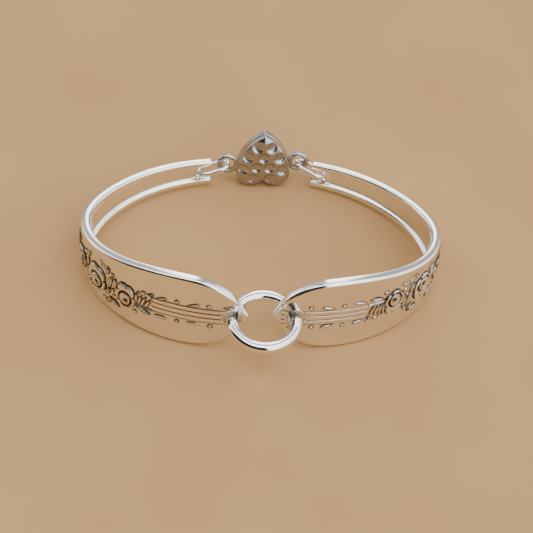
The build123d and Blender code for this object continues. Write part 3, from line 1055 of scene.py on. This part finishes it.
class Nodes:
    """A material's or world's node tree, built a node at a time."""

    def __init__(self, owner):
        owner.use_nodes = True
        self.tree = owner.node_tree
        self.tree.nodes.clear()

    def add(self, kind, inputs=(), **settings):
        """A new node. Each of its inputs is a value or another node's output."""
        node = self.tree.nodes.new(kind)
        for key, value in settings.items():
            setattr(node, key, value)
        for key, value in dict(inputs).items():
            if isinstance(value, bpy.types.NodeSocket):
                self.tree.links.new(value, node.inputs[key])
            else:
                node.inputs[key].default_value = value
        return node

    def mix(self, share, low, high):
        """One colour turning into another."""
        return self.add("ShaderNodeMix", {0: share, 6: low, 7: high}, data_type="RGBA").outputs[2]

    def noise(self, place_on, scale, detail):
        """Soft noise from 0 to 1."""
        inputs = {"Vector": place_on, "Scale": scale, "Detail": detail}
        return self.add("ShaderNodeTexNoise", inputs).outputs["Fac"]

    def between(self, value, low, high, to_low=0.0, to_high=1.0, kind="LINEAR"):
        """A value moved from one range into another and kept inside it."""
        inputs = {"Value": value, "From Min": low, "From Max": high, "To Min": to_low, "To Max": to_high}
        return self.add("ShaderNodeMapRange", inputs, interpolation_type=kind).outputs["Result"]

    def fade(self, *values):
        """The same with soft ends."""
        return self.between(*values, kind="SMOOTHSTEP")

    def math(self, operation, a, b=0.0):
        """A sum, product or the like of two numbers."""
        return self.add("ShaderNodeMath", {0: a, 1: b}, operation=operation).outputs[0]

    def blend(self, share, low, high):
        """One number turning into another."""
        return self.math("ADD", low, self.math("MULTIPLY", share, self.math("SUBTRACT", high, low)))


def silver(name, bright, rough, brushed, speckle):
    """Polished silver with fine grain and wear, and dark parts: tarnish in the ornament's grooves, a
    dark foot to the channel's walls, and painted shade in the holes' rims, the clasp's seam and round
    its dimples.
    """
    material = bpy.data.materials.new(name)
    n = Nodes(material)
    recess = n.add("ShaderNodeAttribute", attribute_name="recess").outputs["Fac"]
    grain_place = n.add("ShaderNodeAttribute", attribute_name="grain_place").outputs["Vector"]
    solid_place = n.add("ShaderNodeTexCoord").outputs["Object"]
    stretched = n.add("ShaderNodeMapping", {"Vector": grain_place, "Scale": GRAIN_SCALE}).outputs[0]
    grain = n.noise(stretched, 1.0, 3.0)
    clouds = n.noise(solid_place, CLOUD_SCALE, 5.0)
    specks = n.noise(solid_place, SPECK_SCALE, 2.0)
    # How far each point takes the dark colour, mottled by the clouds: tarnish in the ornament, painted
    # shade in the holes, the seam and the dimples
    tarnish_and_shade = n.math("MULTIPLY", recess, n.between(clouds, 0.3, 0.7, 0.75, 1.1))
    dull = tuple(c * DULLER for c in bright[:3]) + (1,)
    tint = n.mix(n.between(clouds, 0.35, 0.7, 0.0, 0.25), bright, dull)
    colour = n.mix(n.between(tarnish_and_shade, 0.15, 0.85), tint, TARNISH_AND_SHADE)
    worn = n.between(clouds, 0.3, 0.75, rough * 0.8, rough * 1.35)
    worn = n.math("ADD", worn, n.math("MULTIPLY", tarnish_and_shade, 0.30))
    bumps = n.math("ADD", n.math("MULTIPLY", grain, brushed), n.math("MULTIPLY", specks, speckle))
    bump = n.add("ShaderNodeBump", {"Height": bumps, "Strength": 1.0, "Distance": BUMP_HEIGHT})
    shader = n.add(
        "ShaderNodeBsdfPrincipled",
        {"Base Color": colour, "Metallic": 1.0, "Roughness": worn, "Normal": bump.outputs[0]},
    )
    n.add("ShaderNodeOutputMaterial", {"Surface": shader.outputs[0]})
    return material


handle_silver = silver("handle_silver", SILVER, 0.13, 0.5, 0.4)
bright_wire = silver("bright_wire", WIRE_SILVER, 0.06, 0.2, 0.2)
clasp_silver = silver("clasp_silver", CLASP_SILVER, 0.24, 0.3, 0.4)


def plain_floor():
    """A wide matt floor in one plain warm tone, with a faint mottle."""
    material = bpy.data.materials.new("pale_floor")
    n = Nodes(material)
    mottle = n.noise(n.add("ShaderNodeTexCoord").outputs["Object"], MOTTLE_SCALE, 4.0)
    colour = n.mix(n.between(mottle, 0.3, 0.7), FLOOR_DEEP, FLOOR_PALE)
    matt = {"Base Color": colour, "Roughness": 0.85, "Specular IOR Level": 0.1}
    n.add("ShaderNodeOutputMaterial", {"Surface": n.add("ShaderNodeBsdfPrincipled", matt).outputs[0]})
    mesh = bpy.data.meshes.new("floor")
    corners = [(x * FLOOR_REACH, y * FLOOR_REACH, 0) for x, y in ((-1, -1), (1, -1), (1, 1), (-1, 1))]
    mesh.from_pydata(corners, [], [(0, 1, 2, 3)])
    mesh.materials.append(material)
    floor = add_object("floor", mesh)


# Light from each part of the sky. The upper rims reflect the far window, which is dim at its left and
# right ends, so the rims are grey at the two bends. The dark part in front, on the left, gives the
# ring and the rounded edges their dark lines, and the lamp's dark rim gives the ring its thin line
FAR_LIGHT = 4.2
LEFT_SHARE = 0.14
RIGHT_SHARE = 0.13
TOP_LIGHT = 3.3
FRONT_LIGHT = 3.0
SIDE_LIGHT = 2.2
DARK_LIGHT = 0.03
SKY_TINT = (0.97, 0.985, 1.0, 1)

# How high the dark parts reach on a ball with radius 1, and the dark rim of the lamp overhead
FRONT_DARK_TOP = 0.80
FAR_DARK_TOP = 0.12
NO_DARK = -0.1
DARK_SOFT = 0.06
LAMP_ELEVATION = radians(65)
LAMP_RADIUS = radians(17)
LAMP_RIM = (0.025, 0.060)
LAMP_RIM_DARK = 0.97

# Where each part fades into the next: X to the right, Y away and Z up, on the same ball
FAR_FADE = (-0.05, 0.30)
RIGHT_FADE = (0.06, 0.34)
SIDE_FADE = (0.45, 0.85)
TOP_FADE = (0.70, 0.92)
LEFT_GREY_FADE = (-0.114, -0.090)
RIGHT_GREY_FADE = (0.145, 0.185)
LAMP_RIM_FADE = (0.48, 0.60)


def sky():
    """A bright soft sky: dark in front on the left, low on the far side, and round the lamp overhead."""
    world = bpy.data.worlds.new("soft_light")
    bpy.context.scene.world = world
    n = Nodes(world)
    direction = n.add("ShaderNodeTexCoord").outputs["Generated"]
    x, y, z = n.add("ShaderNodeSeparateXYZ", {0: direction}).outputs
    far = n.fade(y, *FAR_FADE)
    right = n.fade(x, *RIGHT_FADE)
    sideways = n.fade(n.math("ABSOLUTE", x), *SIDE_FADE)
    overhead = n.fade(z, *TOP_FADE)

    far_top = n.blend(sideways, FAR_DARK_TOP, NO_DARK)
    dark_top = n.blend(far, n.blend(right, FRONT_DARK_TOP, NO_DARK), far_top)
    ceiling = n.fade(n.math("SUBTRACT", z, dark_top), -DARK_SOFT, DARK_SOFT)
    window = n.math("MULTIPLY", FAR_LIGHT, n.fade(x, *LEFT_GREY_FADE, LEFT_SHARE, 1.0))
    window = n.math("MULTIPLY", window, n.fade(x, *RIGHT_GREY_FADE, 1.0, RIGHT_SHARE))
    around = n.blend(sideways, n.blend(far, FRONT_LIGHT, window), SIDE_LIGHT)
    light = n.blend(ceiling, DARK_LIGHT, n.blend(overhead, around, TOP_LIGHT))

    ahead = n.math("MULTIPLY", y, cos(LAMP_ELEVATION))
    above = n.math("MULTIPLY", z, sin(LAMP_ELEVATION))
    off_rim = n.math("ABSOLUTE", n.math("SUBTRACT", n.math("ADD", ahead, above), cos(LAMP_RADIUS)))
    on_rim = n.fade(off_rim, *LAMP_RIM, LAMP_RIM_DARK, 0.0)
    rim = n.math("MULTIPLY", on_rim, n.fade(y, *LAMP_RIM_FADE, 1.0, 0.0))
    light = n.math("MULTIPLY", light, n.math("SUBTRACT", 1.0, rim))
    background = n.add("ShaderNodeBackground", {"Color": SKY_TINT, "Strength": light})
    n.add("ShaderNodeOutputWorld", {"Surface": background.outputs[0]})


def photo_camera():
    """The camera at the photograph's angle."""
    data = bpy.data.cameras.new("camera")
    data.sensor_width = SENSOR
    data.lens = SENSOR / 2 / tan(CAMERA_VIEW / 2)
    data.clip_start, data.clip_end = CAMERA_CLIP
    a, e = CAMERA_AZIMUTH, CAMERA_ELEVATION
    ahead = Vector((sin(a) * cos(e), cos(a) * cos(e), -sin(e)))
    level = Vector((cos(a), -sin(a), 0))
    up = level.cross(ahead)
    right = level * cos(CAMERA_ROLL) - up * sin(CAMERA_ROLL)
    top = level * sin(CAMERA_ROLL) + up * cos(CAMERA_ROLL)
    camera = add_object("camera", data)
    turn = Matrix((right, top, -ahead)).transposed().to_4x4()
    camera.matrix_world = Matrix.Translation(CAMERA_PLACE) @ turn
    bpy.context.scene.camera = camera


photo_camera()
plain_floor()
sky()
build_handle("handle_right", RIGHT_TIP_HOLE_IN, False)
build_handle("handle_left", LEFT_TIP_HOLE_IN, True)
wire_loop("front_ring", RING_STEPS)
wire_loop("link_left", LINK_STEPS)
wire_loop("link_right", LINK_STEPS)
build_clasp("clasp_near", 1, True)
build_clasp("clasp_far", -1, False)
